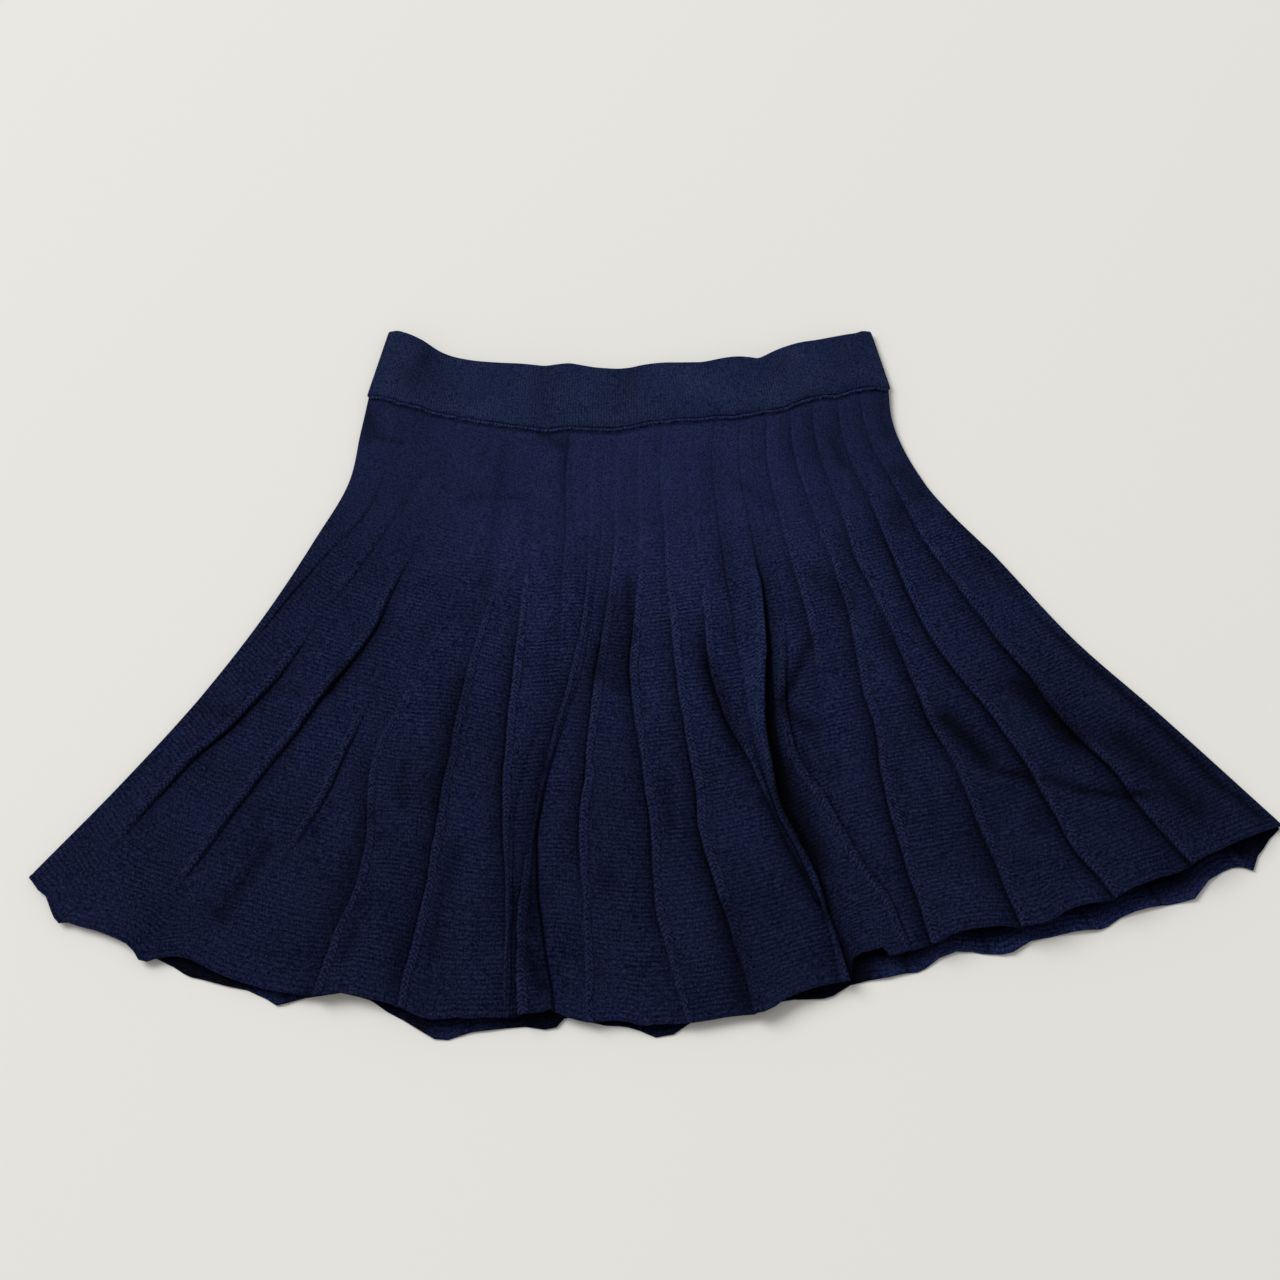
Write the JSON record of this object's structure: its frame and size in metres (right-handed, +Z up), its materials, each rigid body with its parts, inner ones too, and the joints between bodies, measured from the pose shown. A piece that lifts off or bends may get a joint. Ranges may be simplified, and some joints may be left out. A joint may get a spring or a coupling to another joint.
{
  "type": "knit mini skirt, laid flat",
  "caption": "Flared knit mini skirt lying flat, with a plain doubled waistband, a linked waist seam and narrow ribbed pleats that open towards a wavy hem.",
  "frame": {"origin": "on the surface the skirt lies on, under the middle of the box it fills", "axes": "+X across the skirt, +Y from the hem to the waist, +Z up from the surface it lies on"},
  "size_m": [0.761, 0.4875, 0.0156],
  "materials": {
    "body_knit": "matt fine-gauge knit with raised face ribs",
    "band_knit": "matt close rib knit"
  },
  "bodies": {
    "root": {"skirt_front_left": "body_knit", "skirt_front_middle": "body_knit", "skirt_front_right": "body_knit", "skirt_front_edge": "body_knit", "skirt_back": "body_knit", "waistband_front": "band_knit", "waistband_back": "band_knit", "waist_seam": "body_knit"}
  },
  "joints": []
}
